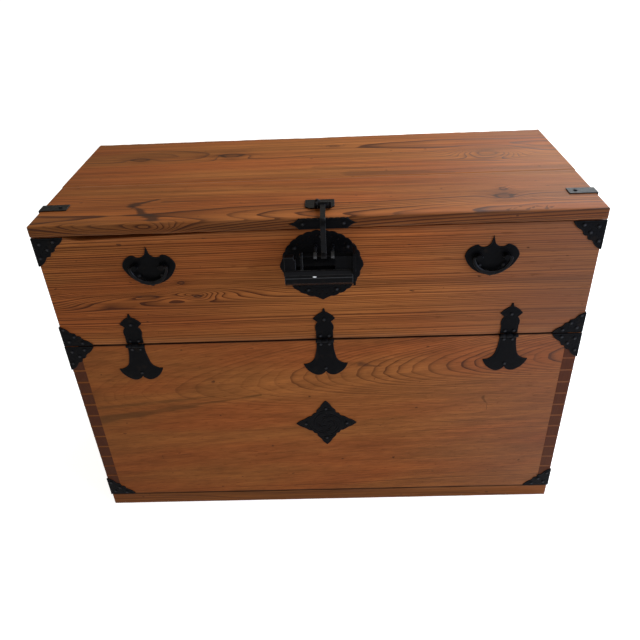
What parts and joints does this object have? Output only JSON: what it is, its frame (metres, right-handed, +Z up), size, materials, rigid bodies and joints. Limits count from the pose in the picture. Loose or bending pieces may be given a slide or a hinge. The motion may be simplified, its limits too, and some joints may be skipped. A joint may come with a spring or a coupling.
{
  "type": "half-opening chest",
  "caption": "Wide wooden chest whose upper front drops as a flap on strap hinges, with a hasp from the top, a round lock plate, a sliding-bolt padlock, bail handles and iron corners.",
  "frame": {"origin": "on the floor, under the middle of the carcass", "axes": "+Z up, +X to the right seen from the front, +Y to the back"},
  "size_m": [0.9066, 0.44, 0.653],
  "materials": {
    "old_pine": "oiled, worn, strong grain",
    "blackened_iron": "blackened satin",
    "spring_steel": "plain"
  },
  "bodies": {
    "carcass": {"back_board_lower": "old_pine", "back_board_upper": "old_pine", "band_plate": "blackened_iron", "bottom_board": "old_pine", "diamond_plate": "blackened_iron", "foot_bracket_left": "blackened_iron", "foot_bracket_right": "blackened_iron", "hasp_pin": "blackened_iron", "hasp_plate": "blackened_iron", "hinge_lower_leaf_left": "blackened_iron", "hinge_lower_leaf_middle": "blackened_iron", "hinge_lower_leaf_right": "blackened_iron", "hinge_pin_left": "blackened_iron", "hinge_pin_middle": "blackened_iron", "hinge_pin_right": "blackened_iron", "lower_panel": "old_pine", "nails_front": "blackened_iron", "nails_top": "blackened_iron", "seam_bracket_panel_left": "blackened_iron", "seam_bracket_panel_right": "blackened_iron", "side_board_left": "old_pine", "side_board_right": "old_pine", "top_board_front": "old_pine", "top_board_rear": "old_pine", "top_strap_left": "blackened_iron", "top_strap_right": "blackened_iron"},
    "flap": {"flap_board": "old_pine", "flap_corner_left": "blackened_iron", "flap_corner_right": "blackened_iron", "handle_plate_left": "blackened_iron", "handle_plate_right": "blackened_iron", "handle_posts_left": "blackened_iron", "handle_posts_right": "blackened_iron", "hinge_upper_leaf_left": "blackened_iron", "hinge_upper_leaf_middle": "blackened_iron", "hinge_upper_leaf_right": "blackened_iron", "lock_plate": "blackened_iron", "lock_staple_left": "blackened_iron", "lock_staple_right": "blackened_iron", "nails_flap": "blackened_iron", "padlock_case": "blackened_iron", "seam_bracket_flap_left": "blackened_iron", "seam_bracket_flap_right": "blackened_iron"},
    "hasp": {"hasp_bar": "blackened_iron"},
    "padlock_bolt": {"padlock_bolt": "blackened_iron", "padlock_springs": "spring_steel"},
    "left_bail": {"handle_bail_left": "blackened_iron"},
    "right_bail": {"handle_bail_right": "blackened_iron"}
  },
  "joints": [
    {"name": "flap_drop", "type": "hinge", "parent": "carcass", "child": "flap", "pos_m": [0, -0.1999, 0.409], "axis": [1, 0, 0], "range_deg": [0, 90]},
    {"name": "hasp_lift", "type": "hinge", "parent": "carcass", "child": "hasp", "pos_m": [0.0125, -0.168, 0.648], "axis": [-1, 0, 0], "range_deg": [0, 180]},
    {"name": "bolt_slide", "type": "slide", "parent": "flap", "child": "padlock_bolt", "axis": [1, 0, 0], "range_m": [0, 0.08]},
    {"name": "left_bail_swing", "type": "hinge", "parent": "flap", "child": "left_bail", "pos_m": [-0.272, -0.204, 0.5655], "axis": [-1, 0, 0], "range_deg": [0, 175]},
    {"name": "right_bail_swing", "type": "hinge", "parent": "flap", "child": "right_bail", "pos_m": [0.28, -0.204, 0.5655], "axis": [-1, 0, 0], "range_deg": [0, 175]}
  ],
  "couplings": [
    {"joint": "hasp_lift", "follows": "flap_drop", "ratio": 2}
  ]
}
